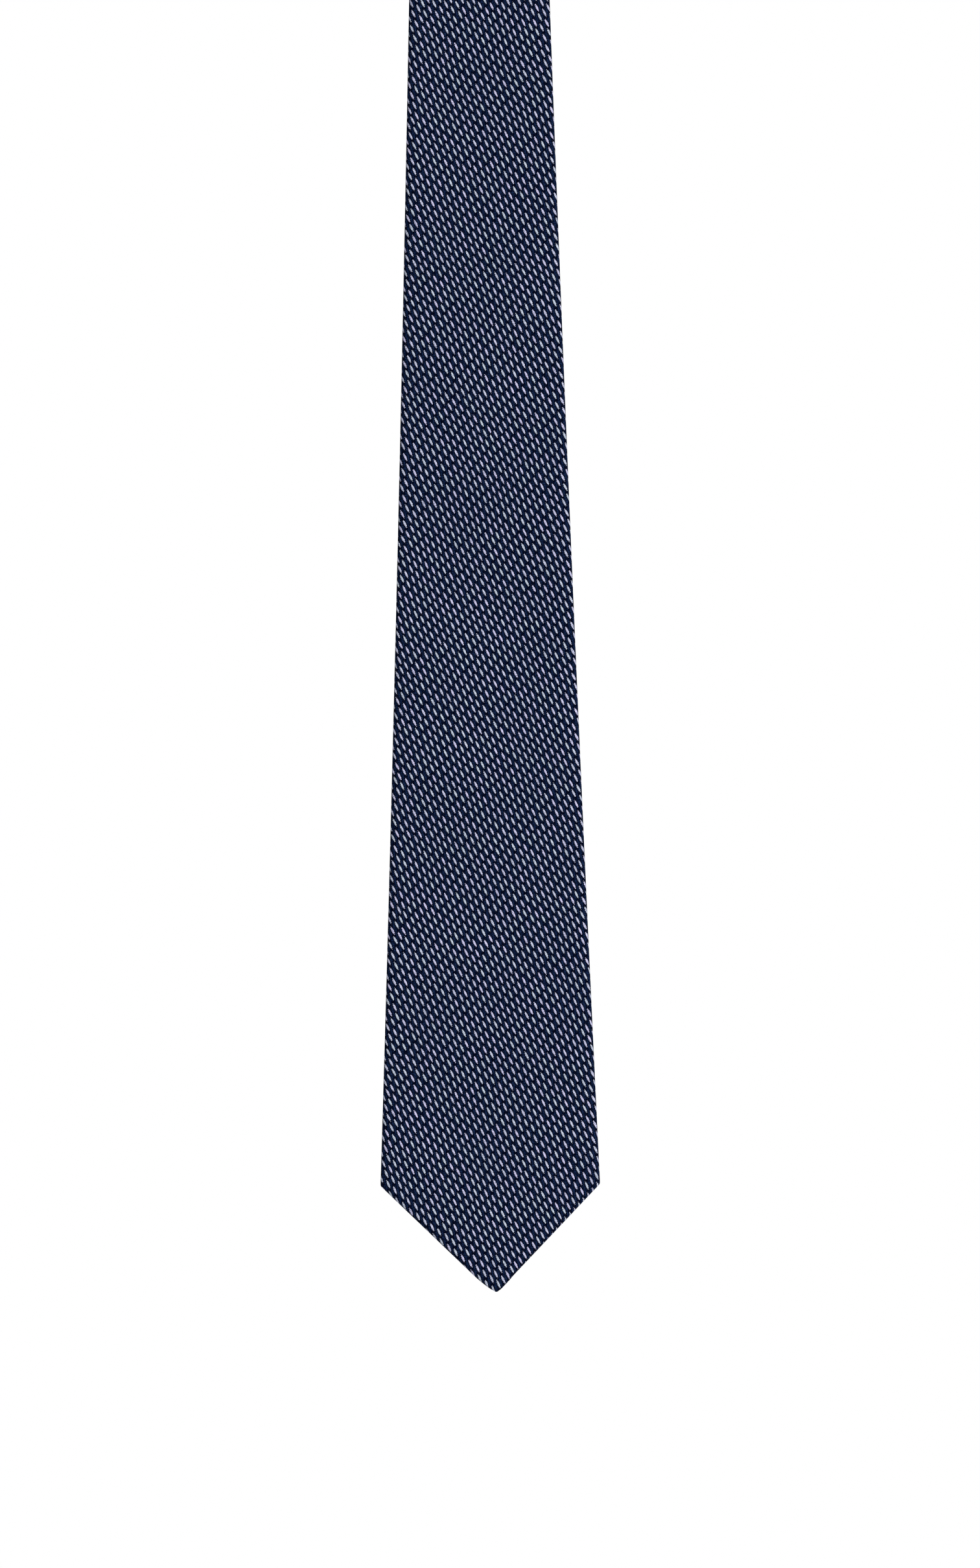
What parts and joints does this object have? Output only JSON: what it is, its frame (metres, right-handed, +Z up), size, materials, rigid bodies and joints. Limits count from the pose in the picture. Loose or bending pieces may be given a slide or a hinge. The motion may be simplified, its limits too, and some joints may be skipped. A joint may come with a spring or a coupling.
{
  "type": "necktie",
  "caption": "Long pointed necktie of bias-cut patterned silk folded round a wool interlining, hung over a rail, with a keeper loop, labels and soft folds.",
  "frame": {"origin": "middle of the rail that the neck of the tie hangs over", "axes": "+Z up; the front blade faces -Y; +X across the tie"},
  "size_m": [0.08, 0.0222, 0.8711],
  "materials": {
    "silk": "navy jacquard silk with pale lavender dashes on the bias",
    "wool": "brushed cream wool canvas",
    "lining": "plain navy twill",
    "sewing_thread": "twisted navy thread",
    "ribbon": "plain woven label with no lettering",
    "satin": "plain white satin tape with no lettering"
  },
  "bodies": {
    "neck": {"neck_shell_saddle": "silk", "neck_interlining": "wool", "neck_slip_stitch": "sewing_thread"},
    "front_upper": {"front_blade_shell_upper": "silk", "neck_shell_front": "silk", "front_interlining_upper": "wool", "front_slip_stitch_upper": "sewing_thread", "blade_seam_thread": "sewing_thread"},
    "front_lower": {"front_blade_shell_lower": "silk", "front_interlining_lower": "wool", "front_slip_stitch_lower": "sewing_thread", "front_tipping": "lining", "front_hem_thread_left": "sewing_thread", "front_hem_thread_right": "sewing_thread", "front_bar_tack": "sewing_thread", "keeper_loop": "silk", "keeper_tack_left": "sewing_thread", "keeper_tack_right": "sewing_thread", "label": "ribbon", "label_stitch_left": "sewing_thread", "label_stitch_right": "sewing_thread"},
    "care_tag": {"care_tag": "satin"},
    "tail_upper": {"neck_shell_tail": "silk", "tail_shell_upper": "silk", "tail_interlining_upper": "wool", "tail_slip_stitch_upper": "sewing_thread", "tail_seam_thread": "sewing_thread"},
    "tail_lower": {"tail_shell_lower": "silk", "tail_interlining_lower": "wool", "tail_slip_stitch_lower": "sewing_thread", "tail_tipping": "lining", "tail_hem_thread_left": "sewing_thread", "tail_hem_thread_right": "sewing_thread", "tail_bar_tack": "sewing_thread"}
  },
  "joints": [
    {"name": "front_upper_fold", "type": "hinge", "parent": "neck", "child": "front_upper", "pos_m": [0, -0.01155, -0.04], "axis": [-1, 0, 0], "range_deg": [0, 170]},
    {"name": "front_lower_fold", "type": "hinge", "parent": "front_upper", "child": "front_lower", "pos_m": [0, -0.01155, -0.56], "axis": [-1, 0, 0], "range_deg": [0, 170]},
    {"name": "care_tag_flip", "type": "hinge", "parent": "front_lower", "child": "care_tag", "pos_m": [0, -0.006, -0.625], "axis": [1, 0, 0], "range_deg": [0, 150]},
    {"name": "tail_upper_fold", "type": "hinge", "parent": "neck", "child": "tail_upper", "pos_m": [0, 0.01155, -0.04], "axis": [1, 0, 0], "range_deg": [0, 170]},
    {"name": "tail_lower_fold", "type": "hinge", "parent": "tail_upper", "child": "tail_lower", "pos_m": [0, 0.01155, -0.35968], "axis": [1, 0, 0], "range_deg": [0, 170]}
  ]
}
